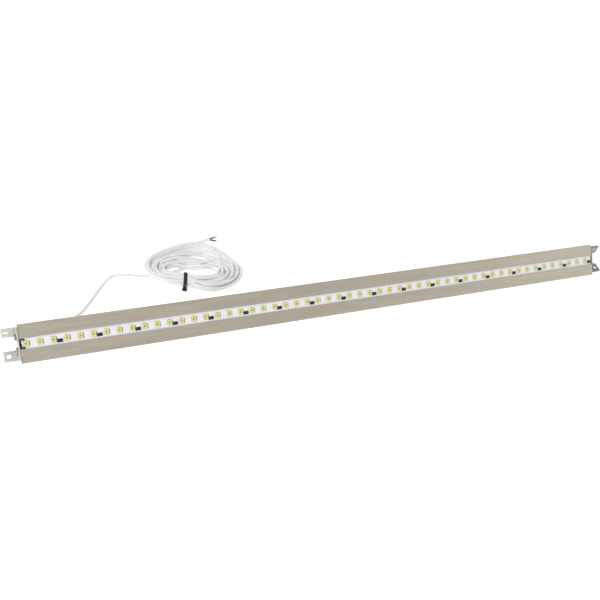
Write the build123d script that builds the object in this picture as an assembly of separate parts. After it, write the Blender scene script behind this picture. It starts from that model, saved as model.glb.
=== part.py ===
from build123d import *
import math
import os

os.makedirs("parts", exist_ok=True)

# A corner-mount LED light bar. X runs along the bar, Y to the back, Z up.
# The bar lies on the leg that is its bottom. The origin is under its middle.
# Driving dimensions, mm
segment_count = 18
leds_per_segment = 3
segment_length = 25.0
board_width = 8.0
board_thick = 0.3
tape_thick = 0.2
bar_length = 452.5
face_width = 26.0
leg_wall = 1.3
corner_round = 0.3
opening_width = 7.2
lip_thick = 0.3
recess_width = 8.2
recess_depth = 0.9
floor_wall = 1.2
strip_gap = 1.25
led_along = 3.4
led_across = 3.6
led_height = 0.85
first_led = 2.82
plate_thick = 1.0
ear_reach = 10.0
ear_inset = 3.0
ear_width = 8.2
ear_hole_reach = 7.1
ear_hole_radius = 1.6
screw_hole_radius = 1.0
cable_diameter = 2.2
lead_diameter = 1.0
exit_from_end = 34.5
exit_height = 4.4
grommet_flange = 0.9

# Worked out from them
root_half = math.sqrt(0.5)
leg = face_width * root_half
half_leg = leg / 2
left_end = -bar_length / 2
led_pitch = segment_length / leds_per_segment
led_count = segment_count * leds_per_segment
strip_length = segment_count * segment_length
strip_left = left_end + strip_gap
board_bottom = tape_thick - recess_depth
board_top = board_bottom + board_thick
cable_radius = cable_diameter / 2

# u along X, v up the slanting face, w out of it
face_plane = Plane(origin=(0, 0, half_leg), x_dir=(1, 0, 0), z_dir=(0, -1, 1))
# swaps the bottom leg and the back leg
leg_mirror = Plane(origin=(0, half_leg, 0), z_dir=(0, 1, 1))


def save(shape, node):
    export_step(shape, "parts/" + node + ".step")


def section_plane(x):
    """Sketch plane across the bar, with Y to its right and Z up."""
    return Plane(origin=(x, 0, 0), x_dir=(0, 1, 0), z_dir=(1, 0, 0))


def on_face(v, w):
    """The (y, z) of a point v up the slanting face and w out of it."""
    return ((v - w) * root_half, half_leg + (v + w) * root_half)


def on_legs(a, b):
    """The (y, z) of a point a in front of the back plane and b above the bottom."""
    return (half_leg - a, b)


def outline(points):
    return make_face(Polyline(*points, close=True))


def along_bar(sketch, start, length):
    return extrude(section_plane(start) * sketch, amount=length)


def block(u, v, w, size):
    """A box on the face, centred on u and v, with its underside at w."""
    box = Box(size[0], size[1], size[2], align=(Align.CENTER, Align.CENTER, Align.MIN))
    return face_plane * Pos(u, v, w) * box


def world(u, v, w):
    y, z = on_face(v, w)
    return (u, y, z)


# ---- housing: one aluminium extrusion, hollow, with the strip's recess in its face
port_v = 4.2
port_w = -3.2
boss_radius = 2.1
ports = [on_face(-port_v, port_w), on_face(port_v, port_w)]
slot_length = 2.2
slot_width = 3.6
grommet_neck_radius = 2.2


def housing():
    corners = [on_legs(0, 0), on_legs(leg, 0), on_legs(0, leg)]
    outer = outline(corners)
    outer = fillet(outer.vertices(), corner_round)
    half_recess = recess_width / 2
    half_opening = opening_width / 2
    recess = outline(
        [
            on_face(-half_opening, 1),
            on_face(half_opening, 1),
            on_face(half_opening, -lip_thick),
            on_face(half_recess, -lip_thick),
            on_face(half_recess, -recess_depth),
            on_face(-half_recess, -recess_depth),
            on_face(-half_recess, -lip_thick),
            on_face(-half_opening, -lip_thick),
        ]
    )
    tip = leg - leg_wall * (1 + 1 / root_half)
    half_floor = half_recess + floor_wall
    floor = -(recess_depth + floor_wall)
    cavity = outline(
        [
            on_legs(leg_wall, leg_wall),
            on_legs(tip, leg_wall),
            on_face(-half_floor, -leg_wall),
            on_face(-half_floor, floor),
            on_face(half_floor, floor),
            on_face(half_floor, -leg_wall),
            on_legs(leg_wall, tip),
        ]
    )
    bosses = [Pos(*place) * Circle(boss_radius) for place in ports]
    holes = [Pos(*place) * Circle(screw_hole_radius) for place in ports]
    profile = outer - recess - (cavity - bosses) - holes
    body = along_bar(profile, left_end, bar_length)
    slot_size = (2 * slot_length, slot_width, 2 * floor_wall)
    body -= block(left_end, 0, floor - floor_wall / 2, slot_size)
    hole = Cylinder(grommet_neck_radius, 4 * leg_wall, rotation=(90, 0, 0))
    body -= Pos(left_end + exit_from_end, half_leg - leg_wall / 2, exit_height) * hole
    return body


save(housing(), "housing_extrusion")

# ---- LED strip: tape, board, pads, packages, phosphor, terminals, resistors
strip_middle = strip_left + strip_length / 2
save(
    block(strip_middle, 0, -recess_depth, (strip_length, board_width, tape_thick)),
    "strip_adhesive_tape",
)
save(
    block(strip_middle, 0, board_bottom, (strip_length, board_width, board_thick)),
    "led_strip_board",
)

package_round = 0.25
window_along = 3.1
window_across = 3.3
window_round = 0.6
window_depth = 0.25
phosphor_thick = 0.21
terminal_width = 1.5
terminal_reach = 0.3
terminal_height = 0.35
led_places = [strip_left + first_led + led_pitch * i for i in range(led_count)]


def led_package(u):
    body = block(u, 0, board_top, (led_along, led_across, led_height))
    upright = body.edges().filter_by(Axis(world(0, 0, 0), (0, -1, 1)))
    body = fillet(upright, package_round)
    top = face_plane * Pos(u, 0, board_top + led_height - window_depth)
    window = RectangleRounded(window_along, window_across, window_round)
    return body - extrude(top * window, amount=1)


def phosphor(u):
    top = face_plane * Pos(u, 0, board_top + led_height - window_depth)
    window = RectangleRounded(window_along, window_across, window_round)
    return extrude(top * window, amount=phosphor_thick)


def terminals(u):
    middle = led_across / 2 + terminal_reach / 2
    size = (terminal_width, terminal_reach, terminal_height)
    return [block(u, side * middle, board_top, size) for side in (-1, 1)]


save(Compound(children=[led_package(u) for u in led_places]), "led_packages")
save(Compound(children=[phosphor(u) for u in led_places]), "led_phosphor_windows")
save(Compound(children=sum([terminals(u) for u in led_places], [])), "led_terminals")

resistor_length = 3.2
resistor_width = 1.6
resistor_height = 0.55
end_cap = 0.35
resistor_v = -1.05
resistor_from_led = led_pitch / 2 - 0.3
resistor_places = [
    led_places[leds_per_segment * i + 2] + resistor_from_led
    for i in range(segment_count)
]


def resistor(u):
    size = (resistor_length - 2 * end_cap, resistor_width, resistor_height)
    return block(u, resistor_v, board_top, size)


def resistor_caps(u):
    middle = (resistor_length - end_cap) / 2
    size = (end_cap, resistor_width, resistor_height)
    return [block(u + side * middle, resistor_v, board_top, size) for side in (-1, 1)]


save(Compound(children=[resistor(u) for u in resistor_places]), "chip_resistors")
save(
    Compound(children=sum([resistor_caps(u) for u in resistor_places], [])),
    "resistor_end_caps",
)

pad_size = (1.4, 1.7, 0.06)
pad_v = 2.7
pad_inset = 1.15
pad_places = [(strip_left + pad_inset, side) for side in (-1, 1)]
pads = [block(u, side * pad_v, board_top, pad_size) for u, side in pad_places]
save(Compound(children=pads), "board_end_pads")

# ---- wiring inside the housing
sleeve_start = 10.5
sleeve_length = 7.5
jacket_end = 14.0
lead_spread = 0.55
run_w = (exit_height - half_leg) / root_half
lead_radius = lead_diameter / 2
lead_rest = board_top + pad_size[2] + lead_radius
lead_up = strip_gap / 2
lead_across = 1.25
lead_bends = [1.5, 0.6, 0.6]
lead_stop = 3.2
joint_from_end = 2.6
joint_radius = 0.85
joint_height = 0.95
joint_round = 0.45


def tube(path, radius):
    """A round bar along a path of straight runs and tangent arcs."""
    start = Plane(origin=path @ 0, z_dir=path % 0)
    return sweep(start * Circle(radius), path=path)


def lead(side):
    points = [
        world(left_end + jacket_end, side * lead_spread, run_w),
        world(left_end + lead_up, side * lead_spread, run_w),
        world(left_end + lead_up, side * lead_across, lead_rest),
        world(left_end + lead_up, side * pad_v, lead_rest),
        world(left_end + lead_stop, side * pad_v, lead_rest),
    ]
    return tube(FilletPolyline(*points, radius=lead_bends), lead_radius)


def solder_joint(side, wire):
    drop = Cylinder(joint_radius, joint_height, align=(Align.CENTER, Align.CENTER, Align.MIN))
    drop = fillet(drop.edges().sort_by(Axis.Z)[-1], joint_round)
    place = Pos(left_end + joint_from_end, side * pad_v, board_top + pad_size[2])
    return face_plane * place * drop - wire


positive = lead(1)
negative = lead(-1)
save(positive, "positive_lead")
save(negative, "negative_lead")
joints = [solder_joint(1, positive), solder_joint(-1, negative)]
save(Compound(children=joints), "solder_joints")

run_y, run_z = on_face(0, run_w)
exit_x = left_end + exit_from_end
grommet_face = half_leg + grommet_flange
inner_bend = 2.3
inner_route = FilletPolyline(
    (exit_x, grommet_face, exit_height),
    (exit_x, run_y, exit_height),
    (left_end + jacket_end, run_y, run_z),
    radius=[inner_bend],
)
save(tube(inner_route, cable_radius), "inner_cable_run")


def ring_along_x(start, length, outer, inner):
    ring = Circle(outer) - Circle(inner)
    return extrude(section_plane(start) * Pos(run_y, run_z) * ring, amount=length)


sleeve_wall = 0.35
sleeve_radius = cable_radius + sleeve_wall
save(
    ring_along_x(left_end + sleeve_start, sleeve_length, sleeve_radius, cable_radius),
    "heat_shrink_sleeve",
)

inner_tie_start = left_end + 19.3
inner_tie_width = 2.5
inner_tie_radius = cable_radius + 0.8
inner_tie_head = (inner_tie_width, 3.2, 1.4)
inner_tie_drop = 2.2
inner_tie = ring_along_x(inner_tie_start, inner_tie_width, inner_tie_radius, cable_radius)
head_place = Pos(inner_tie_start + inner_tie_width / 2, run_y, run_z - inner_tie_drop)
inner_tie += head_place * Box(*inner_tie_head)
bore = Cylinder(cable_radius, 2 * inner_tie_width, rotation=(0, 90, 0))
save(inner_tie - Pos(inner_tie_start, run_y, run_z) * bore, "inner_strain_tie")

neck_start = half_leg - leg_wall
inner_flange = 0.8
outer_flange_radius = 3.2
inner_flange_radius = 2.8


def turned(radius, low, high):
    """A disc on the exit's axis from one y to another."""
    disc = Cylinder(radius, high - low, rotation=(90, 0, 0))
    return Pos(exit_x, (low + high) / 2, exit_height) * disc


grommet = turned(grommet_neck_radius, neck_start, half_leg)
grommet += turned(outer_flange_radius, half_leg, grommet_face)
grommet += turned(inner_flange_radius, neck_start - inner_flange, neck_start)
grommet -= turned(cable_radius, neck_start - 2 * inner_flange, grommet_face + 1)
save(grommet, "cable_grommet")

# ---- end brackets: a plate across each end, with an ear bent out along each leg
ear_end = leg - ear_inset
plate_inset = 0.3
plate_low = 1.2
bend_top = 1.7
screw_clearance = 1.25
bend_inside = 0.4
bend_outside = 1.15
ear_round = 0.9
screw_head_radius = 2.05
screw_head_height = 1.5
screw_head_round = 0.7
screw_slot = (2.4, 0.5, 1.6)
thread_radius = 0.95
thread_length = 9
thread_point = 0.5


def ear():
    """The ear on the bottom leg, with its bend."""
    bend = outline(
        [
            (-ear_reach, 0),
            (0, 0),
            (0, bend_top),
            (-plate_thick, bend_top),
            (-plate_thick, plate_thick),
            (-ear_reach, plate_thick),
        ]
    )
    bend = fillet(bend.vertices().sort_by_distance((0, 0))[0], bend_outside)
    inner = bend.vertices().sort_by_distance((-plate_thick, plate_thick))[0]
    bend = fillet(inner, bend_inside)
    low_y = half_leg - ear_end
    side_on = Plane(origin=(left_end, low_y + ear_width, 0), x_dir=(1, 0, 0), z_dir=(0, -1, 0))
    blank = extrude(side_on * bend, amount=ear_width)
    far = blank.edges().filter_by(Axis.Z).group_by(Axis.X)[0]
    blank = fillet(far, ear_round)
    middle = Pos(left_end - ear_hole_reach, low_y + ear_width / 2, 0)
    return blank - middle * Cylinder(ear_hole_radius, 4 * plate_thick)


def left_bracket():
    slant = leg - plate_inset / root_half
    plate = outline(
        [
            on_legs(plate_low, plate_low),
            on_legs(ear_end, plate_low),
            on_legs(ear_end, slant - ear_end),
            on_legs(slant - ear_end, ear_end),
            on_legs(plate_low, ear_end),
        ]
    )
    clearance = [Pos(*place) * Circle(screw_clearance) for place in ports]
    body = along_bar(plate - clearance, left_end - plate_thick, plate_thick)
    body += ear()
    return body + mirror(ear(), about=leg_mirror)


def screw(place):
    y, z = place
    above = (Align.CENTER, Align.CENTER, Align.MIN)
    below = (Align.CENTER, Align.CENTER, Align.MAX)
    head = Cylinder(screw_head_radius, screw_head_height, align=above)
    head = fillet(head.edges().sort_by(Axis.Z)[-1], screw_head_round)
    for turn in (0, 90):
        head -= Pos(0, 0, screw_head_height) * Rot(0, 0, turn) * Box(*screw_slot)
    thread = Cylinder(thread_radius, thread_length, align=below)
    thread = chamfer(thread.edges().sort_by(Axis.Z)[0], thread_point)
    facing = Plane(origin=(left_end - plate_thick, y, z), z_dir=(-1, 0, 0))
    return facing * (head + thread)


bracket = left_bracket()
screws = [screw(place) for place in ports]
save(bracket, "end_bracket_left")
save(mirror(bracket, about=Plane.YZ), "end_bracket_right")
save(Compound(children=screws), "end_screws_left")
save(Compound(children=[mirror(s, about=Plane.YZ) for s in screws]), "end_screws_right")

# ---- supply cable: out of the grommet, over the table, into the tied coil, and its end
# Each corner's radius is 0.45 of its shorter run over the tangent of half its turn.
run_share = 0.45
coil_height = 6.9


def from_corner(x, depth, z):
    """A point given from the bar's left end and its front edge."""
    return (left_end + x, depth - half_leg, z)


lead_out = [
    (exit_x, grommet_face, exit_height),
    from_corner(exit_from_end, 23.6, exit_height),
    from_corner(37.2, 28.6, 2.8),
    from_corner(43.2, 34.2, 1.15),
    from_corner(52.6, 45.4, 1.1),
    from_corner(63.2, 58.6, 1.1),
    from_corner(68.9, 62.7, 1.1),
    from_corner(77.2, 61.8, 1.1),
    from_corner(86.2, 59.0, 1.1),
    from_corner(95.0, 57.4, 1.1),
]
tail = [
    from_corner(130.0, 81.0, 1.1),
    from_corner(138.6, 84.8, 1.1),
    from_corner(145.9, 86.6, 1.1),
]


def corner_radii(points, name):
    radii = []
    for before, at, after in zip(points, points[1:], points[2:]):
        into = Vector(*at) - Vector(*before)
        out = Vector(*after) - Vector(*at)
        turn = into.get_angle(out)
        shorter = min(into.length, out.length)
        radii.append(run_share * shorter / math.tan(math.radians(turn / 2)))
    print(name, "radii", [round(r, 1) for r in radii])
    return radii


def free_cable(points, name):
    route = FilletPolyline(*points, radius=corner_radii(points, name))
    body = tube(route, cable_radius)
    expected = math.pi * cable_radius**2 * route.length
    print(name, "length", round(route.length, 1), "volume share", body.volume / expected)
    return body


coil_middle = from_corner(126.3, 60.0, 0)
coil_half = (36.0, 25.3)
coil_turn = -13
coil_round = 1.6
eye_middle = from_corner(123.5, 57.4, 0)
eye_half = (17.7, 6.1)
tie_middle = from_corner(116.9, 47.6, 0)
tie_turn = 74
tie_width = 2.5
tie_thick = 0.6
bundle_across = 10.1
bundle_height = 6.1
bundle_round = 1.5
head_size = (1.5, 3.7, 1.7)
head_lap = 0.2


def coil_block():
    outer = Pos(*coil_middle) * Rot(0, 0, coil_turn) * Ellipse(*coil_half)
    eye = Pos(*eye_middle) * Rot(0, 0, coil_turn) * Ellipse(*eye_half)
    ring = extrude(outer - eye, amount=coil_height)
    return fillet(ring.edges(), coil_round)


tie_place = Pos(*tie_middle) * Rot(0, 0, tie_turn)


def tie_section(half_width, grow):
    """Across the bundle of turns where the tie holds it."""
    section = RectangleRounded(
        bundle_across + 2 * grow, bundle_height + 2 * grow, bundle_round + grow
    )
    loop = extrude(Plane.XZ * section, amount=half_width, both=True)
    return tie_place * Pos(0, 0, bundle_height / 2 + tie_thick) * loop


hold = tie_section(tie_width / 2, 0)
band = tie_section(tie_width / 2, tie_thick) - hold
slab_size = (2.5 * bundle_across, tie_width, 2 * coil_height)
slab = tie_place * Pos(0, 0, coil_height / 2) * Box(*slab_size) - hold
head_out = head_lap - (bundle_across / 2 + tie_thick + head_size[0] / 2)
tie_head = tie_place * Pos(head_out, 0, head_size[2] / 2) * Box(*head_size)

coil = coil_block() - slab - tie_head
save(free_cable(lead_out, "supply_cable") - coil, "supply_cable")
jacket = free_cable(tail, "supply_cable_tail") - coil
save(jacket, "supply_cable_tail")
save(coil, "supply_cable_coil")
save(band + tie_head, "cable_tie")

# ---- stripped end of the cable: two wires that part, with tinned tips
fork = tail[-1]
wire_radius = 0.5
wire_length = 5.0
tip_radius = 0.35
tip_length = 1.8
wire_split = 17
wire_apart = 0.52


def wire(side, start, length, radius):
    """A straight piece of one of the two wires, from start to start plus length."""
    angle = math.radians(side * wire_split)
    direction = (math.cos(angle), math.sin(angle), 0)
    root = Vector(*fork) + Vector(0, side * wire_apart, 0)
    facing = Plane(origin=root + Vector(*direction) * start, z_dir=direction)
    return extrude(facing * Circle(radius), amount=length)


save(wire(1, 0, wire_length, wire_radius) - jacket, "wire_end_red")
save(wire(-1, 0, wire_length, wire_radius) - jacket, "wire_end_black")
tips = [wire(side, wire_length, tip_length, tip_radius) for side in (1, -1)]
save(Compound(children=tips), "tinned_wire_tips")
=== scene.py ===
import bpy
import bmesh
import math
from mathutils import Matrix, Vector


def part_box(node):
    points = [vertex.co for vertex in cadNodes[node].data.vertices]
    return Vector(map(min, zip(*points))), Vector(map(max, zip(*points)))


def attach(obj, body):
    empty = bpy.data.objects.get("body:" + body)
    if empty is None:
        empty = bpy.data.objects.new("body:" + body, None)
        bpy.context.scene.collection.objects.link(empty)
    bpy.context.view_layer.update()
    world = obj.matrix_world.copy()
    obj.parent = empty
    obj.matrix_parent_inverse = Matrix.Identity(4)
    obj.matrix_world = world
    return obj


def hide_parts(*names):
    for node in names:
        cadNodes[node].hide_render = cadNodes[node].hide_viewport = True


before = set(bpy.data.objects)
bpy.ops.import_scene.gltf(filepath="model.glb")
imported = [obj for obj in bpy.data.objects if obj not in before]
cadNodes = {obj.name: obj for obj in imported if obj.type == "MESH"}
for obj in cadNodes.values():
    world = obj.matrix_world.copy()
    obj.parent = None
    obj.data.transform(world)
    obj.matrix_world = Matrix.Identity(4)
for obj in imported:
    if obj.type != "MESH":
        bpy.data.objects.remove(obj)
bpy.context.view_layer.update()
print("frame loaded:", len(cadNodes), "CAD nodes")

mm = 0.001
barLow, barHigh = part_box("housing_extrusion")
legSize = barHigh.z
halfLeg = legSize / 2
rootHalf = math.sqrt(0.5)


def fromCorner(x, depth, z):
    # millimetres from the bar's left end and its front edge, to metres in the frame
    return Vector((barLow.x + x * mm, barLow.y + depth * mm, z * mm))


def onFace(u, v, w):
    # u along the bar, v up the slanting face, w out of it, in metres
    return Vector((u, (v - w) * rootHalf, halfLeg + (v + w) * rootHalf))


def mix(a, b, share):
    return a + (b - a) * share


def easeInOut(share):
    share = min(1.0, max(0.0, share))
    return share * share * (3 - 2 * share)


# Camera, lights and floor

cameraPlan = {
    "place": (-0.2419, -0.3184, 0.4331),
    "azimuth": 32.791,
    "lookDown": 47.998,
    "roll": 17.241,
    "lens": 48,
    "sensor": 36,
}


def makeCamera(plan):
    data = bpy.data.cameras.new("camera")
    data.lens = plan["lens"]
    data.sensor_width = plan["sensor"]
    data.clip_start = 0.01
    data.clip_end = 20
    azimuth, down, roll = (math.radians(plan[k]) for k in ("azimuth", "lookDown", "roll"))
    ahead = math.cos(down)
    forward = Vector((math.sin(azimuth) * ahead, math.cos(azimuth) * ahead, -math.sin(down)))
    level = Vector((math.cos(azimuth), -math.sin(azimuth), 0))
    rise = level.cross(forward)
    right = level * math.cos(roll) + rise * math.sin(roll)
    up = right.cross(forward)
    turned = Matrix((right, up, -forward)).transposed().to_4x4()
    camera = bpy.data.objects.new("camera", data)
    camera.matrix_world = Matrix.Translation(plan["place"]) @ turned
    bpy.context.scene.collection.objects.link(camera)
    bpy.context.scene.camera = camera


lightPlan = {
    "sky": 0.6,
    "skyColour": (1.0, 1.0, 1.0),
    "lamps": [
        {
            "name": "keyLamp",
            "place": (-1.41, -0.66, 1.55),
            "aim": (0, 0.02, 0),
            "size": 0.4,
            "power": 20.0,
        },
        {
            "name": "fillLamp",
            "place": (0.87, -0.58, 0.43),
            "aim": (0.22, 0, 0.01),
            "size": 0.3,
            "power": 0.24,
        },
    ],
}


def makeLights(plan):
    world = bpy.data.worlds.new("studio")
    bpy.context.scene.world = world
    world.use_nodes = True
    sky = world.node_tree.nodes["Background"]
    sky.inputs["Color"].default_value = (*plan["skyColour"], 1)
    sky.inputs["Strength"].default_value = plan["sky"]
    for lamp in plan["lamps"]:
        data = bpy.data.lights.new(lamp["name"], "AREA")
        data.energy = lamp["power"]
        data.size = lamp["size"]
        made = bpy.data.objects.new(lamp["name"], data)
        made.location = lamp["place"]
        aim = Vector(lamp["aim"]) - Vector(lamp["place"])
        made.rotation_euler = aim.to_track_quat("-Z", "Y").to_euler()
        bpy.context.scene.collection.objects.link(made)


def startMaterial(name, colour, roughness, metallic=0.0):
    material = bpy.data.materials.new(name)
    material.use_nodes = True
    shader = material.node_tree.nodes["Principled BSDF"]
    shader.inputs["Base Color"].default_value = (*colour, 1)
    shader.inputs["Roughness"].default_value = roughness
    shader.inputs["Metallic"].default_value = metallic
    return material, shader


floorPlan = {"half": 3.0, "below": 0.00005, "colour": (0.93, 0.93, 0.93), "glow": 0.4}


def makeFloor(plan):
    bm = bmesh.new()
    bmesh.ops.create_grid(bm, x_segments=4, y_segments=4, size=plan["half"])
    mesh = bpy.data.meshes.new("floor")
    bm.to_mesh(mesh)
    bm.free()
    floor = bpy.data.objects.new("floor", mesh)
    floor.location = (0, 0, -plan["below"])
    bpy.context.scene.collection.objects.link(floor)
    material, shader = startMaterial("floorPaper", plan["colour"], 0.9)
    shader.inputs["Emission Color"].default_value = (1, 1, 1, 1)
    shader.inputs["Emission Strength"].default_value = plan["glow"]
    floor.data.materials.append(material)


makeCamera(cameraPlan)
makeLights(lightPlan)
makeFloor(floorPlan)
bpy.context.scene.view_settings.view_transform = "Standard"
print("camera, lights and floor made")


# Supply cable: one length from the grommet, through the tied coil, to its stripped end

cablePlan = {
    "diameter": 2.2 * mm,
    "length": 1.73,  # metres, along its line
    "sides": 5,  # Blender's bevel resolution
    "exit": Vector((barLow.x + 34.5 * mm, barHigh.y + 0.9 * mm, 4.4 * mm)),
    # the route, in millimetres from the bar's left end, its front edge and the surface
    "leadOut": [
        (34.5, 23.6, 4.4),
        (37.2, 28.6, 2.8),
        (43.2, 34.2, 1.15),
        (52.6, 45.4, 1.1),
        (63.2, 58.6, 1.1),
        (68.9, 62.7, 1.1),
        (77.2, 61.8, 1.1),
        (86.2, 59.0, 1.1),
        (95.0, 57.4, 1.1),
    ],
    "acrossEye": [
        (105.0, 57.8, 1.1),
        (115.0, 59.8, 1.1),
        (125.5, 61.2, 1.1),
        (135.5, 59.2, 1.1),
        (143.5, 53.4, 1.1),
    ],
    "tail": [(131.0, 82.0, 2.1), (138.6, 84.8, 1.1), (145.9, 86.6, 1.1)],
}

coilPlan = {
    "pointsPerTurn": 24,
    "finePerPoint": 4,  # steps between two points while the turns are stacked
    "smoothOver": 3,  # steps each side over which their height is evened out
    "comesOut": 75,  # degrees before the tie at which the cable leaves the eye
    "goesOff": 150,  # degrees past the last tie at which the tail begins
    "perRow": 4,  # turns side by side under the tie
    "middle": (126.3, 58.4),
    "outerHalf": (34.9, 24.2),
    "eyeMiddle": (123.5, 56.2),
    "eyeHalf": (18.8, 7.2),
    "turned": -13,
    "tieMiddle": (116.9, 47.6),
    "tieAngle": -101.5,
    "tieLift": 0.6,
    "rowShift": (-0.25, 0.25, -0.25),  # in diameters
    "gathered": 62,  # degrees each side of the tie over which the turns fan out
    # lane at the right end, place under the tie, lane at the left end, lane at the back
    "turns": [
        (0.35, 2, 0.60, 0.15),
        (0.35, 0, 0.15, 0.55),
        (0.90, 3, 0.95, 0.85),
        (0.10, 1, 0.40, 0.30),
        (0.55, 1, 0.02, -0.15),
        (0.75, 3, 0.80, 0.95),
        (0.04, 0, 0.25, -0.25),
        (0.45, 2, 0.62, 0.45),
        (0.22, 0, 0.08, 0.05),
        (1.00, 3, 1.00, 1.00),
        (0.64, 2, 0.48, 0.66),
        (0.85, 1, 0.88, 0.95),
    ],
    "rightAt": 0.218,  # shares of a turn, from the back
    "leftAt": 0.718,
    "spreadAt": 0.395,  # right of the tie the turns have already fanned out this far
    "spread": 0.8,
    "dent": (0.22, 130, 50),  # how far the turns draw in at the back left: share, angle, half width
    "press": 0.92,  # how near the jackets lie, in diameters
    "top": 4.4,
    "topAtTie": 5.8,
}


def turnPoint(plan, angle, lane):
    # millimetres in plan, lane 0 at the eye and 1 at the outside
    half = [mix(e, o, lane) for e, o in zip(plan["eyeHalf"], plan["outerHalf"])]
    centre = [mix(e, o, lane) for e, o in zip(plan["eyeMiddle"], plan["middle"])]
    x, y = half[0] * math.cos(angle), half[1] * math.sin(angle)
    turn = math.radians(plan["turned"])
    return (
        centre[0] + x * math.cos(turn) - y * math.sin(turn),
        centre[1] + x * math.sin(turn) + y * math.cos(turn),
    )


def slotLane(plan, row, slot, pitch):
    # the lane that puts a turn in its place under the tie
    angle = math.radians(plan["tieAngle"])
    inner, outer = Vector(turnPoint(plan, angle, 0)), Vector(turnPoint(plan, angle, 1))
    reach = outer - inner
    middle = (Vector(plan["tieMiddle"]) - inner).dot(reach.normalized())
    offset = (slot - (plan["perRow"] - 1) / 2 + plan["rowShift"][row]) * pitch
    return (middle + offset) / reach.length


def laneAt(knots, passed):
    for (start, one), (stop, other) in zip(knots, knots[1:]):
        if passed <= stop:
            return mix(one, other, easeInOut((passed - start) / (stop - start)))
    return knots[-1][1]


def layTurns(plan, diameter):
    # clockwise from above, each turn resting on those wound before it
    step = 2 * math.pi / plan["pointsPerTurn"]
    tie = math.radians(plan["tieAngle"])
    wide = math.radians(plan["gathered"])
    fine = plan["finePerPoint"]
    turns = plan["turns"]
    count = len(turns)
    knots = [(0, turns[0][0])]
    for k, (right, slot, left, back) in enumerate(turns):
        held = slotLane(plan, k // plan["perRow"], slot, diameter)
        fanned = mix(held, right, plan["spread"])
        knots += [(k + plan["rightAt"], right), (k + plan["spreadAt"], fanned), (k + 0.5, held)]
        knots += [(k + plan["leftAt"], left), (k + 1, back)]
    start = tie + math.radians(plan["comesOut"])
    stop = tie - 2 * math.pi * (count - 1) - math.radians(plan["goesOff"])
    total = round((start - stop) / step)
    plain = []
    for i in range(total * fine + 1):
        angle = start - i * step / fine
        passed = (tie - angle) / (2 * math.pi) + 0.5  # a whole number half way between ties
        lane = laneAt(knots, passed)
        draw, drawAt, drawHalf = plan["dent"]
        fromDent = abs((math.degrees(angle) - drawAt + 180) % 360 - 180)
        lane -= draw * lane * easeInOut(1 - fromDent / drawHalf)
        near = easeInOut(1 - abs(passed - math.floor(passed) - 0.5) * 2 * math.pi / wide)
        x, y = turnPoint(plan, angle, lane)
        low = diameter / 2 + plan["tieLift"] * near ** 3
        plain.append((x, y, low, mix(plan["top"], plan["topAtTie"], near)))
    reachBack = plan["pointsPerTurn"] * fine // 2
    gap = plan["press"] * diameter
    laid, spread = [], plan["smoothOver"]
    for first in range(0, len(plain), reachBack):
        raw = []
        for x, y, low, top in plain[first : first + reachBack]:
            z = low
            for px, py, pz in laid[: max(0, first - reachBack)]:
                apart = (x - px) ** 2 + (y - py) ** 2
                if apart < gap * gap:
                    z = max(z, pz + math.sqrt(gap * gap - apart))
            raw.append(min(z, top))
        before = [p[2] for p in laid[-2 * spread :]]
        line = before + raw + [raw[-1]] * 2 * spread
        crest = [max(line[max(0, i - spread) : i + spread + 1]) for i in range(len(line))]
        for i, (x, y, _, _) in enumerate(plain[first : first + reachBack]):
            at = i + len(before)
            window = crest[max(0, at - spread) : at + spread + 1]
            laid.append((x, y, sum(window) / len(window)))
    return laid[::fine]


def cableRoute():
    turns = layTurns(coilPlan, cablePlan["diameter"] / mm)
    points = [cablePlan["exit"]]
    points += [fromCorner(*p) for p in cablePlan["leadOut"] + cablePlan["acrossEye"]]
    points += [fromCorner(*p) for p in turns]
    points += [fromCorner(*p) for p in cablePlan["tail"]]
    return points


def roundCurve(name, lines, radius, sides):
    # one or more open lines of control points, as round bars
    data = bpy.data.curves.new(name, "CURVE")
    data.dimensions = "3D"
    data.bevel_depth = 1  # the points' own radii thin it
    data.bevel_resolution = sides
    data.resolution_u = 6
    data.use_fill_caps = True
    for points in lines:
        spline = data.splines.new("NURBS")
        spline.points.add(len(points) - 1)
        for place, point in zip(spline.points, points):
            place.co = (*point, 1)
            place.radius = radius
        spline.order_u = 3
        spline.use_endpoint_u = True
    piece = bpy.data.objects.new(name, data)
    bpy.context.scene.collection.objects.link(piece)
    return piece


def finishPiece(piece, slotName, *replaced):
    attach(piece, "root")
    if replaced:
        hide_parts(*replaced)
    return piece


cableLine = cableRoute()
cable = roundCurve("supplyCableWhole", [cableLine], cablePlan["diameter"] / 2, cablePlan["sides"])
finishPiece(cable, "cable_jacket_white", "supply_cable", "supply_cable_coil", "supply_cable_tail")
print("cable made with", len(cableLine), "control points")


# Mesh helpers: rounded outlines joined into closed skins

def roundedOutline(halfA, halfB, radius, perCorner=4):
    # points round a rectangle with rounded corners, anticlockwise
    radius = min(radius, halfA * 0.999, halfB * 0.999)
    points = []
    for corner, (sa, sb) in enumerate(((1, 1), (-1, 1), (-1, -1), (1, -1))):
        for i in range(perCorner + 1):
            angle = math.radians(90 * (corner + i / perCorner))
            a = sa * (halfA - radius) + radius * math.cos(angle)
            points.append((a, sb * (halfB - radius) + radius * math.sin(angle)))
    return points


def addLoft(bm, rings, place):
    # rings of (halfA, halfB, radius, height), closed at both ends
    loops = []
    for halfA, halfB, radius, height in rings:
        outline = roundedOutline(halfA, halfB, radius)
        loops.append([bm.verts.new(place(a, b, height)) for a, b in outline])
    for low, high in zip(loops, loops[1:]):
        for i in range(len(low)):
            j = (i + 1) % len(low)
            bm.faces.new((low[i], low[j], high[j], high[i]))
    bm.faces.new(loops[0][::-1])
    bm.faces.new(loops[-1])


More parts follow.
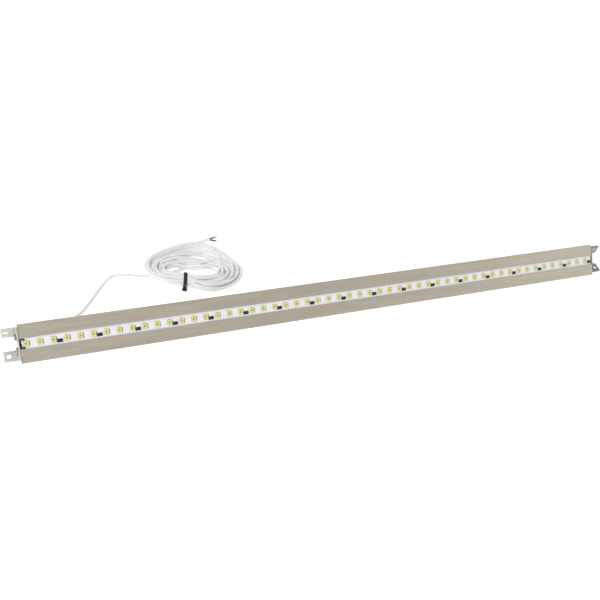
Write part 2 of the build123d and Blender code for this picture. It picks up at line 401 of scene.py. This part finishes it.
def meshPiece(name, bm, material, smoothAngle=35):
    bmesh.ops.recalc_face_normals(bm, faces=bm.faces)
    mesh = bpy.data.meshes.new(name)
    bm.to_mesh(mesh)
    bm.free()
    for face in mesh.polygons:
        face.use_smooth = True
    mesh.set_sharp_from_angle(angle=math.radians(smoothAngle))
    mesh.materials.append(material)
    piece = bpy.data.objects.new(name, mesh)
    bpy.context.scene.collection.objects.link(piece)
    return piece


def faceSpot(u, v):
    # places a part on the slanting face at u and v
    return lambda a, b, w: onFace(u + a, v + b, w)


# Materials

def paint(red, green, blue):
    # display colour, 0 to 255, to the linear one that a shader takes
    values = [c / 255 for c in (red, green, blue)]
    return tuple(c / 12.92 if c < 0.04045 else ((c + 0.055) / 1.055) ** 2.4 for c in values)


def addNode(tree, kind, **sockets):
    node = tree.nodes.new("ShaderNode" + kind)
    for key, value in sockets.items():
        node.inputs[key].default_value = value
    return node


def grain(tree, stretch, detail=3.0):
    # noise whose waves are 1 / stretch metres long along each axis
    spot = tree.nodes.new("ShaderNodeTexCoord")
    mapping = addNode(tree, "Mapping", Scale=stretch)
    noise = addNode(tree, "TexNoise", Scale=1.0, Detail=detail, Roughness=0.6)
    tree.links.new(spot.outputs["Object"], mapping.inputs["Vector"])
    tree.links.new(mapping.outputs["Vector"], noise.inputs["Vector"])
    return noise.outputs["Fac"]


def between(tree, value, low, high, toLow=0.0, toHigh=1.0):
    # value from low to high, as a number from toLow to toHigh
    node = tree.nodes.new("ShaderNodeMapRange")
    node.interpolation_type = "SMOOTHSTEP"
    tree.links.new(value, node.inputs["Value"])
    for key, number in (("From Min", low), ("From Max", high), ("To Min", toLow), ("To Max", toHigh)):
        node.inputs[key].default_value = number
    return node.outputs["Result"]


def sums(tree, operation, first, second=None):
    node = tree.nodes.new("ShaderNodeMath")
    node.operation = operation
    for socket, value in zip(node.inputs, (first, second)):
        if isinstance(value, (int, float)):
            socket.default_value = value
        elif value is not None:
            tree.links.new(value, socket)
    return node.outputs[0]


def blendColours(tree, share, first, second):
    node = tree.nodes.new("ShaderNodeMix")
    node.data_type = "RGBA"
    tree.links.new(share, node.inputs["Factor"])
    for key, colour in (("A", first), ("B", second)):
        socket = [s for s in node.inputs if s.name == key and s.type == "RGBA"][0]
        if isinstance(colour, tuple):
            socket.default_value = (*colour, 1)
        else:
            tree.links.new(colour, socket)
    return [s for s in node.outputs if s.type == "RGBA"][0]


def addBump(tree, shader, height, distance, strength=0.6):
    node = addNode(tree, "Bump", Strength=strength, Distance=distance)
    tree.links.new(height, node.inputs["Height"])
    tree.links.new(node.outputs["Normal"], shader.inputs["Normal"])


def faceAxes(tree):
    # u along the bar, v up its face and w out of it, from the place in the frame
    spot = tree.nodes.new("ShaderNodeTexCoord")
    split = tree.nodes.new("ShaderNodeSeparateXYZ")
    tree.links.new(spot.outputs["Object"], split.inputs["Vector"])
    x, y, z = split.outputs
    lifted = sums(tree, "SUBTRACT", z, halfLeg)
    v = sums(tree, "MULTIPLY", sums(tree, "ADD", lifted, y), rootHalf)
    w = sums(tree, "MULTIPLY", sums(tree, "SUBTRACT", lifted, y), rootHalf)
    return x, v, w


def finishShader(tree, shader, colour=None, roughness=None):
    if colour is not None:
        tree.links.new(colour, shader.inputs["Base Color"])
    if roughness is not None:
        tree.links.new(roughness, shader.inputs["Roughness"])


aluminium = {
    "dark": paint(198, 190, 174),
    "light": paint(214, 206, 190),
    "edge": paint(150, 145, 136),
    "brush": (28, 2600, 2600),
    "streak": (9, 420, 420),
    "smudge": (22, 70, 70),
    "shares": (0.45, 0.35, 0.2),  # of the three grains in the tone
    "bump": 0.00003,
    "faceHalf": 13 * mm,
    "cutEdge": 0.4 * mm,
}


def aluminiumMaterial(plan):
    material, shader = startMaterial("brushedAluminium", plan["dark"], 0.42, 1.0)
    tree = material.node_tree
    brush, streak, smudge = (grain(tree, plan[k]) for k in ("brush", "streak", "smudge"))
    parts = [sums(tree, "MULTIPLY", g, share) for g, share in zip((brush, streak, smudge), plan["shares"])]
    tone = sums(tree, "ADD", sums(tree, "ADD", parts[0], parts[1]), parts[2])
    colour = blendColours(tree, between(tree, tone, 0.32, 0.68), plan["dark"], plan["light"])
    u, v = faceAxes(tree)[:2]
    # the face is darker along its two long edges, patchily, and at its left cut end, where the darkening is
    # painted shade
    rim = between(tree, sums(tree, "ABSOLUTE", v), plan["faceHalf"] - 0.7 * mm, plan["faceHalf"] - 0.1 * mm)
    leftEndShade = between(tree, u, barLow.x + plan["cutEdge"], barLow.x + 1.6 * plan["cutEdge"], 1.0, 0.0)
    edgeDarkening = sums(tree, "MULTIPLY", rim, between(tree, streak, 0.35, 0.6, 0.35, 1.0))
    edgeDarkening = sums(tree, "MAXIMUM", edgeDarkening, leftEndShade)
    colour = blendColours(tree, edgeDarkening, colour, plan["edge"])
    finishShader(tree, shader, colour, between(tree, brush, 0.3, 0.7, 0.36, 0.5))
    addBump(tree, shader, brush, plan["bump"])
    return material


stripPlan = {
    "count": 54,
    "firstLed": 4.07 * mm,  # from the bar's left end
    "pitch": 25 * mm / 3,
    "boardTop": -0.4 * mm,
    "body": (1.7 * mm, 1.8 * mm, 0.25 * mm),
    "height": 0.85 * mm,
    "window": (1.55 * mm, 1.65 * mm, 0.6 * mm),
    "cupFloor": (1.42 * mm, 1.52 * mm, 0.55 * mm),
    "cupDepth": 0.25 * mm,
    "edge": 0.05 * mm,
    "gelRim": 0.03 * mm,
    "gelDip": 0.06 * mm,
}

board = {
    "mask": paint(237, 234, 240),
    "track": paint(222, 218, 226),
    # the colour of the painted shadow beside each package
    "shade": paint(150, 144, 132),
    "ledShadowFrom": 1.6 * mm,
    "ledShadowTo": 2.5 * mm,
    "ledShadowHalf": 1.7 * mm,
    # painted shadow and dark solder round each resistor
    "shadowAndSolder": paint(74, 68, 66),
    "shadowAndSolderHalf": (1.75 * mm, 1.0 * mm),
    "shadowAndSolderMiddle": (24.60 * mm, -1.2 * mm),  # along from the bar's end, up the face
    "soft": 0.08 * mm,  # how gradually a painted edge ends
    "bump": 0.00004,
    "print": paint(38, 38, 40),
    "railFrom": 2.75 * mm,
    "railTo": 3.75 * mm,
    "dashes": (6.3 * mm, 8.3 * mm),
    "dashHalf": (0.62 * mm, 0.16 * mm),
    "dashHeight": 3.55 * mm,
}


def boardMaterial(plan):
    material, shader = startMaterial("solderMaskWhite", plan["mask"], 0.38)
    tree = material.node_tree
    u, v = faceAxes(tree)[:2]
    side = sums(tree, "ABSOLUTE", v)
    soft = plan["soft"]
    rail = sums(
        tree,
        "MULTIPLY",
        between(tree, side, plan["railFrom"], plan["railFrom"] + soft),
        between(tree, side, plan["railTo"] - soft, plan["railTo"], 1.0, 0.0),
    )
    weave = grain(tree, (1800, 1800, 1800))
    colour = blendColours(tree, rail, plan["mask"], plan["track"])
    marks = None
    for dash in plan["dashes"]:
        along = sums(tree, "ABSOLUTE", sums(tree, "SUBTRACT", u, barLow.x + dash))
        across = sums(tree, "ABSOLUTE", sums(tree, "SUBTRACT", v, plan["dashHeight"]))
        one = sums(
            tree,
            "MULTIPLY",
            between(tree, along, plan["dashHalf"][0] - soft, plan["dashHalf"][0], 1.0, 0.0),
            between(tree, across, plan["dashHalf"][1] - soft, plan["dashHalf"][1], 1.0, 0.0),
        )
        marks = one if marks is None else sums(tree, "ADD", marks, one)
    colour = blendColours(tree, marks, colour, plan["print"])
    # painted shadow on the board beside each package, on its right, as cast by a light from the left
    first = barLow.x + stripPlan["firstLed"] - stripPlan["pitch"] / 2
    beside = sums(tree, "FLOORED_MODULO", sums(tree, "SUBTRACT", u, first), stripPlan["pitch"])
    beside = sums(tree, "SUBTRACT", beside, stripPlan["pitch"] / 2)
    ledShadow = sums(
        tree,
        "MULTIPLY",
        between(tree, beside, plan["ledShadowFrom"], plan["ledShadowFrom"] + soft),
        between(tree, beside, plan["ledShadowTo"] - 5 * soft, plan["ledShadowTo"], 1.0, 0.0),
    )
    height = between(tree, side, plan["ledShadowHalf"] - 3 * soft, plan["ledShadowHalf"], 1.0, 0.0)
    ledShadow = sums(tree, "MULTIPLY", ledShadow, height)
    colour = blendColours(tree, ledShadow, colour, plan["shade"])
    # and a dark patch round each resistor, one to three packages: painted shadow together with the dark
    # solder round the chip
    group = 3 * stripPlan["pitch"]
    first = barLow.x + plan["shadowAndSolderMiddle"][0] - group / 2
    along = sums(tree, "FLOORED_MODULO", sums(tree, "SUBTRACT", u, first), group)
    along = sums(tree, "ABSOLUTE", sums(tree, "SUBTRACT", along, group / 2))
    across = sums(tree, "ABSOLUTE", sums(tree, "SUBTRACT", v, plan["shadowAndSolderMiddle"][1]))
    shadowAndSolder = sums(
        tree,
        "MULTIPLY",
        between(tree, along, plan["shadowAndSolderHalf"][0], plan["shadowAndSolderHalf"][0] + 5 * soft, 1.0, 0.0),
        between(tree, across, plan["shadowAndSolderHalf"][1], plan["shadowAndSolderHalf"][1] + 5 * soft, 1.0, 0.0),
    )
    colour = blendColours(tree, shadowAndSolder, colour, plan["shadowAndSolder"])
    finishShader(tree, shader, colour, between(tree, weave, 0.3, 0.7, 0.32, 0.46))
    addBump(tree, shader, sums(tree, "ADD", rail, sums(tree, "MULTIPLY", weave, 0.15)), plan["bump"])
    return material


def grainyMaterial(name, plan):
    # a plain finish with fine unevenness in its colour, gloss and surface
    material, shader = startMaterial(name, plan["colour"], plan["roughness"], plan.get("metallic", 0.0))
    tree = material.node_tree
    fine = grain(tree, plan["stretch"])
    wide = grain(tree, tuple(s / 9 for s in plan["stretch"]))
    tone = sums(tree, "ADD", sums(tree, "MULTIPLY", fine, 0.5), sums(tree, "MULTIPLY", wide, 0.5))
    colour = blendColours(tree, between(tree, tone, 0.35, 0.65), plan["shade"], plan["colour"])
    swing = plan["uneven"]
    rough = between(tree, fine, 0.3, 0.7, plan["roughness"] - swing, plan["roughness"] + swing)
    finishShader(tree, shader, colour, rough)
    addBump(tree, shader, fine, plan["bump"])
    for key, value in plan.get("sockets", {}).items():
        shader.inputs[key].default_value = value
    return material


finishes = {
    "cableJacket": {
        "colour": paint(244, 243, 244),
        "shade": paint(234, 233, 235),
        "roughness": 0.42,
        "uneven": 0.06,
        "stretch": (900, 900, 900),
        "bump": 0.00002,
    },
    "ledBody": {
        "colour": paint(206, 206, 158),
        "shade": paint(190, 190, 140),
        "roughness": 0.5,
        "uneven": 0.08,
        "stretch": (2400, 2400, 2400),
        "bump": 0.00001,
    },
    "tinned": {
        "colour": paint(214, 214, 212),
        "shade": paint(190, 190, 188),
        "roughness": 0.45,
        "uneven": 0.1,
        "stretch": (2600, 2600, 2600),
        "bump": 0.00001,
        "metallic": 1.0,
    },
    "solderAlloy": {
        "colour": paint(140, 138, 138),
        "shade": paint(104, 102, 102),
        "roughness": 0.26,
        "uneven": 0.1,
        "stretch": (1500, 1500, 1500),
        "bump": 0.00003,
        "metallic": 1.0,
    },
    "tapeFilm": {
        "colour": paint(214, 204, 178),
        "shade": paint(196, 184, 156),
        "roughness": 0.6,
        "uneven": 0.1,
        "stretch": (900, 900, 900),
        "bump": 0.00002,
    },
    "bracketZinc": {
        "colour": paint(228, 228, 222),
        "shade": paint(208, 208, 202),
        "roughness": 0.4,
        "uneven": 0.1,
        "stretch": (500, 500, 500),
        "bump": 0.00002,
        "metallic": 0.4,
    },
    # painted shade: the right bracket is the same metal as the left, in this darker copy
    "bracketShadedCopy": {
        "colour": paint(166, 164, 156),
        "shade": paint(136, 134, 128),
        "roughness": 0.45,
        "uneven": 0.1,
        "stretch": (500, 500, 500),
        "bump": 0.00002,
        "metallic": 0.85,
    },
    "screwSteel": {
        "colour": paint(176, 176, 178),
        "shade": paint(148, 148, 151),
        "roughness": 0.28,
        "uneven": 0.08,
        "stretch": (1600, 1600, 1600),
        "bump": 0.00001,
        "metallic": 1.0,
    },
    "sleeveBlack": {
        "colour": paint(44, 44, 46),
        "shade": paint(30, 30, 32),
        "roughness": 0.5,
        "uneven": 0.1,
        "stretch": (1200, 1200, 1200),
        "bump": 0.00003,
    },
    "tieBlack": {
        "colour": paint(40, 40, 42),
        "shade": paint(27, 27, 29),
        "roughness": 0.38,
        "uneven": 0.1,
        "stretch": (1400, 1400, 1400),
        "bump": 0.00002,
    },
    "tieNatural": {
        "colour": paint(238, 236, 226),
        "shade": paint(226, 223, 210),
        "roughness": 0.45,
        "uneven": 0.08,
        "stretch": (1200, 1200, 1200),
        "bump": 0.00002,
    },
    "grommetRubber": {
        "colour": paint(206, 206, 204),
        "shade": paint(190, 190, 188),
        "roughness": 0.62,
        "uneven": 0.08,
        "stretch": (1300, 1300, 1300),
        "bump": 0.00003,
    },
    "wireRed": {
        "colour": paint(104, 66, 64),
        "shade": paint(82, 52, 50),
        "roughness": 0.4,
        "uneven": 0.06,
        "stretch": (1500, 1500, 1500),
        "bump": 0.00001,
    },
    "wireBlack": {
        "colour": paint(36, 34, 34),
        "shade": paint(24, 23, 23),
        "roughness": 0.4,
        "uneven": 0.06,
        "stretch": (1500, 1500, 1500),
        "bump": 0.00001,
    },
}
finish = {name: grainyMaterial(name, plan) for name, plan in finishes.items()}


# LED strip, in the same sizes as the frame's

ledPlaces = [barLow.x + stripPlan["firstLed"] + stripPlan["pitch"] * i for i in range(stripPlan["count"])]

phosphorPlan = {
    "outer": paint(222, 226, 142),
    "inner": paint(196, 200, 100),
    "chip": paint(156, 154, 64),
    "chipHalf": 0.55 * mm,
    "haloHalf": 1.5 * mm,
    "cloudy": 0.6 * mm,  # how far the cloud pushes the rings about
    "bump": 0.00002,
}


def phosphorMaterial(plan):
    # each window is deeper in colour over its chip, and they repeat along the bar
    material, shader = startMaterial("phosphorGel", plan["outer"], 0.3)
    tree = material.node_tree
    u, v = faceAxes(tree)[:2]
    pitch = stripPlan["pitch"]
    shifted = sums(tree, "SUBTRACT", u, ledPlaces[0] - pitch / 2)
    ledSide = sums(tree, "SUBTRACT", sums(tree, "FLOORED_MODULO", shifted, pitch), pitch / 2)
    away = sums(
        tree,
        "SQRT",
        sums(tree, "ADD", sums(tree, "MULTIPLY", ledSide, ledSide), sums(tree, "MULTIPLY", v, v)),
    )
    cloud = grain(tree, (1700, 1700, 1700))
    pushed = sums(tree, "MULTIPLY", sums(tree, "SUBTRACT", cloud, 0.5), plan["cloudy"])
    away = sums(tree, "ADD", away, pushed)
    halo = between(tree, away, plan["chipHalf"], plan["haloHalf"])
    chip = between(tree, away, plan["chipHalf"] * 0.7, plan["chipHalf"] * 1.3)
    colour = blendColours(tree, halo, plan["inner"], plan["outer"])
    colour = blendColours(tree, chip, plan["chip"], colour)
    finishShader(tree, shader, colour, between(tree, cloud, 0.3, 0.7, 0.24, 0.38))
    addBump(tree, shader, cloud, plan["bump"])
    return material


def buildPackages(plan):
    bm = bmesh.new()
    top = plan["boardTop"] + plan["height"]
    (bodyA, bodyB, bodyR), edge = plan["body"], plan["edge"]
    rings = [
        (bodyA, bodyB, bodyR, plan["boardTop"]),
        (bodyA, bodyB, bodyR, top - edge),
        (bodyA - edge * 0.3, bodyB - edge * 0.3, bodyR, top - edge * 0.3),
        (bodyA - edge, bodyB - edge, bodyR, top),
        (*plan["window"], top),
        (*plan["cupFloor"], top - plan["cupDepth"]),
    ]
    for u in ledPlaces:
        addLoft(bm, rings, faceSpot(u, 0))
    piece = meshPiece("ledPackages", bm, finish["ledBody"])
    finishPiece(piece, "led_body_white", "led_packages")


def buildGel(plan, material):
    bm = bmesh.new()
    top = plan["boardTop"] + plan["height"]
    rim = top - plan["gelRim"]
    halfA, halfB, radius = plan["window"]
    floorA, floorB, floorRadius = plan["cupFloor"]
    rings = [(floorA * 0.98, floorB * 0.98, floorRadius, top - plan["cupDepth"] * 0.95)]
    for share in (1.0, 0.9, 0.75, 0.55, 0.3, 0.08):
        low = rim - plan["gelDip"] * (1 - share * share)
        rings.append((halfA * 0.985 * share, halfB * 0.985 * share, radius * share, low))
    for u in ledPlaces:
        addLoft(bm, rings, faceSpot(u, 0))
    piece = meshPiece("gelWindows", bm, material, 60)
    finishPiece(piece, "phosphor_yellow", "led_phosphor_windows")


terminalPlan = {"half": 0.75 * mm, "from": 1.8 * mm, "reach": 0.3 * mm, "height": 0.35 * mm}


def buildTerminals(plan):
    # the fillet of solder that climbs each terminal
    bm = bmesh.new()
    base = stripPlan["boardTop"]
    foot = plan["reach"] / 2
    rings = [
        (plan["half"], foot, 0.1 * mm, base),
        (plan["half"] * 0.97, foot * 0.95, 0.1 * mm, base + plan["height"] * 0.25),
        (plan["half"] * 0.9, foot * 0.8, 0.1 * mm, base + plan["height"] * 0.7),
        (plan["half"] * 0.8, foot * 0.55, 0.08 * mm, base + plan["height"]),
    ]
    for u in ledPlaces:
        for side in (-1, 1):
            addLoft(bm, rings, faceSpot(u, side * (plan["from"] + foot)))
    piece = meshPiece("terminalFillets", bm, finish["tinned"])
    finishPiece(piece, "tinned_metal", "led_terminals")


resistorPlan = {
    "every": 3,
    "offset": 2.5,
    "shift": -0.3 * mm,
    "v": -1.05 * mm,
    "half": (1.25 * mm, 0.8 * mm),
    "capHalf": 0.175 * mm,
    "height": 0.55 * mm,
    "edge": 0.06 * mm,
    "coat": paint(30, 29, 32),
    "ceramic": paint(58, 56, 60),
    "bodyBelow": 0.02 * mm,  # the body's top lies this far under the end caps'
    "bump": 0.00001,
}
resistorPlaces = []
for i in range(stripPlan["count"] // resistorPlan["every"]):
    passedLeds = resistorPlan["every"] * i + resistorPlan["offset"]
    resistorPlaces.append(ledPlaces[0] + stripPlan["pitch"] * passedLeds + resistorPlan["shift"])


def resistorMaterial(plan):
    # dark coat on top, bare ceramic at the sides
    material, shader = startMaterial("resistorCoat", plan["coat"], 0.35)
    tree = material.node_tree
    w = faceAxes(tree)[2]
    top = stripPlan["boardTop"] + plan["height"]
    coat = between(tree, w, top - 3 * plan["edge"], top - 1.5 * plan["edge"])
    mottle = grain(tree, (2600, 2600, 2600))
    colour = blendColours(tree, coat, plan["ceramic"], plan["coat"])
    finishShader(tree, shader, colour, between(tree, mottle, 0.3, 0.7, 0.28, 0.45))
    addBump(tree, shader, mottle, plan["bump"])
    return material


def slabRings(halfA, halfB, low, high, edge):
    radius = edge * 1.5
    return [
        (halfA - edge, halfB - edge, radius, low),
        (halfA, halfB, radius, low + edge),
        (halfA, halfB, radius, high - edge),
        (halfA - edge * 0.3, halfB - edge * 0.3, radius, high - edge * 0.3),
        (halfA - edge, halfB - edge, radius, high),
    ]


def buildResistors(plan, material):
    base, top = stripPlan["boardTop"], stripPlan["boardTop"] + plan["height"]
    body, caps = bmesh.new(), bmesh.new()
    bodyRings = slabRings(*plan["half"], base, top - plan["bodyBelow"], plan["edge"])
    capRings = slabRings(plan["capHalf"], plan["half"][1], base, top, plan["edge"])
    for u in resistorPlaces:
        addLoft(body, bodyRings, faceSpot(u, plan["v"]))
        for side in (-1, 1):
            addLoft(caps, capRings, faceSpot(u + side * (plan["half"][0] + plan["capHalf"]), plan["v"]))
    finishPiece(meshPiece("chipResistors", body, material), "resistor_black", "chip_resistors")
    endCaps = meshPiece("resistorEndCaps", caps, finish["solderAlloy"])
    finishPiece(endCaps, "tinned_metal", "resistor_end_caps")


buildPackages(stripPlan)
buildGel(stripPlan, phosphorMaterial(phosphorPlan))
buildTerminals(terminalPlan)
buildResistors(resistorPlan, resistorMaterial(resistorPlan))
print("strip made with", len(ledPlaces), "packages and", len(resistorPlaces), "resistors")


# Cable tie round the gathered turns

tiePlan = {
    "middle": (116.9, 47.6),
    "turned": 74,
    "bundle": (10.1, 6.1),
    "thick": 0.6,
    "width": 2.5,
    "round": 1.5,
    "edge": 0.14,
    "head": (1.5, 3.7, 1.7),
    "headEdge": 0.35,
    "stub": 0.7,
}


def tieSpot(plan, x, y, z):
    # x across the bundle, towards the coil's eye, y along it, in millimetres
    turn = math.radians(plan["turned"])
    return fromCorner(
        plan["middle"][0] + x * math.cos(turn) - y * math.sin(turn),
        plan["middle"][1] + x * math.sin(turn) + y * math.cos(turn),
        z,
    )


def buildTie(plan):
    bm = bmesh.new()
    thick, edge, half = plan["thick"], plan["edge"], plan["width"] / 2
    rise = plan["bundle"][1] / 2 + thick
    profile = [(0, half - edge), (edge, half), (thick - edge, half), (thick, half - edge)]
    profile += [(g, -y) for g, y in reversed(profile)]
    loops = []
    for grow, y in profile:
        across, upward = (size / 2 + grow for size in plan["bundle"])
        outline = roundedOutline(across, upward, plan["round"] + grow, 8)
        loops.append([bm.verts.new(tieSpot(plan, a, y, rise + b)) for a, b in outline])
    for one, other in zip(loops, loops[1:] + loops[:1]):
        for i in range(len(one)):
            j = (i + 1) % len(one)
            bm.faces.new((one[i], one[j], other[j], other[i]))
    length, wide, high = plan["head"]
    outward = -(plan["bundle"][0] / 2 + thick + length / 2 - 0.2)
    middle, e = high / 2, plan["headEdge"]
    rings = slabRings(length / 2, high / 2, -wide / 2, wide / 2, e)
    addLoft(bm, rings, lambda a, b, w: tieSpot(plan, outward + a, w, middle + b))
    stubEnd = length / 2 + plan["stub"]
    stubRings = slabRings(plan["width"] / 2 - 0.1, thick / 2, length / 2 - 0.3, stubEnd, 0.1)
    addLoft(bm, stubRings, lambda a, b, w: tieSpot(plan, outward - w, a, middle + 0.1 + b))
    finishPiece(meshPiece("bundleTie", bm, finish["tieBlack"]), "nylon_black", "cable_tie")


buildTie(tiePlan)
print("tie made")


# Stripped end: two insulated wires that part, each with its tinned strands

endPlan = {
    "wireRadius": 0.5 * mm,
    "strandRadius": 0.12 * mm,
    "strandCount": 6,
    "twistRadius": 0.22 * mm,
    "twistTurns": 0.6,
    "tipLength": 1.9,  # millimetres
    "strandSteps": 8,
    "strandHidden": 0.15,  # share of the tip that starts inside the jacket
    "strandUneven": 0.05,  # how much shorter each of three neighbours is
    "red": [
        (143.8, 87.1, 1.1),
        (145.9, 87.15, 1.1),
        (147.6, 87.4, 1.1),
        (149.4, 87.9, 1.0),
        (150.9, 88.2, 0.95),
    ],
    "black": [
        (143.8, 86.2, 1.1),
        (145.9, 86.1, 1.1),
        (147.4, 85.6, 1.05),
        (148.9, 84.9, 0.95),
        (150.2, 84.5, 0.9),
    ],
}


def strandLines(start, along, plan):
    # strands that wind round the line of the bared tip, and one down its middle
    side = along.cross(Vector((0, 0, 1))).normalized()
    up = side.cross(along)
    lines = [[start + along * plan["tipLength"] * mm * s for s in (-0.3, 0.3, 0.6, 1.0)]]
    for strand in range(plan["strandCount"]):
        line = []
        for i in range(plan["strandSteps"] + 1):
            share = i / plan["strandSteps"]
            turn = 2 * math.pi * (strand / plan["strandCount"] + plan["twistTurns"] * share)
            out = (side * math.cos(turn) + up * math.sin(turn)) * plan["twistRadius"]
            shorter = 1 - plan["strandUneven"] * (strand % 3)
            reach = plan["tipLength"] * (share * shorter - plan["strandHidden"])
            line.append(start + along * reach * mm + out)
        lines.append(line)
    return lines


def buildWireEnds(plan):
    strands = []
    for colour, name, slotName, node in (
        ("red", "wireEndRed", "wire_red", "wire_end_red"),
        ("black", "wireEndBlack", "wire_black", "wire_end_black"),
    ):
        points = [fromCorner(*p) for p in plan[colour]]
        wire = roundCurve(name, [points], plan["wireRadius"], 5)
        wire.data.materials.append(finish["wireRed" if colour == "red" else "wireBlack"])
        finishPiece(wire, slotName, node)
        strands += strandLines(points[-1], (points[-1] - points[-2]).normalized(), plan)
    tips = roundCurve("tinnedStrands", strands, plan["strandRadius"], 3)
    tips.data.materials.append(finish["tinned"])
    finishPiece(tips, "tinned_metal", "tinned_wire_tips")


buildWireEnds(endPlan)
print("wire ends made")


# Solder joints where the leads meet the board

jointPlan = {
    "u": 2.6 * mm,
    "v": 2.7 * mm,
    "low": -0.34 * mm,
    "profile": [(1.0, 0.0), (0.9, 0.1), (0.76, 0.32), (0.62, 0.62), (0.46, 0.86), (0.2, 0.97)],
    "radius": 0.84 * mm,
    "height": 0.95 * mm,
}


def buildJoints(plan):
    bm = bmesh.new()
    rings = []
    for out, up in plan["profile"]:
        half = plan["radius"] * out
        rings.append((half, half, half, plan["low"] + plan["height"] * up))
    for side in (-1, 1):
        addLoft(bm, rings, faceSpot(barLow.x + plan["u"], side * plan["v"]))
    finishPiece(meshPiece("solderJoints", bm, finish["solderAlloy"], 80), "solder", "solder_joints")


buildJoints(jointPlan)
print("solder joints made")


# Finishes of the pieces that come from the frame as they are

carried = {
    "led_strip_board": boardMaterial(board),
    "strip_adhesive_tape": finish["tapeFilm"],
    "housing_extrusion": aluminiumMaterial(aluminium),
    "board_end_pads": finish["tinned"],
    "positive_lead": finish["wireRed"],
    "negative_lead": finish["wireBlack"],
    "inner_cable_run": finish["cableJacket"],
    "heat_shrink_sleeve": finish["sleeveBlack"],
    "inner_strain_tie": finish["tieNatural"],
    "cable_grommet": finish["grommetRubber"],
    "end_bracket_left": finish["bracketZinc"],
    # the right bracket takes the darker copy of the bracket metal, painted shade
    "end_bracket_right": finish["bracketShadedCopy"],
    "end_screws_left": finish["screwSteel"],
    "end_screws_right": finish["screwSteel"],
}

for nodeName, material in carried.items():
    slots = cadNodes[nodeName].data.materials
    if len(slots) == 0:
        slots.append(material)
    for i in range(len(slots)):
        slots[i] = material
cable.data.materials.append(finish["cableJacket"])
print("finishes given to", len(carried), "CAD nodes")
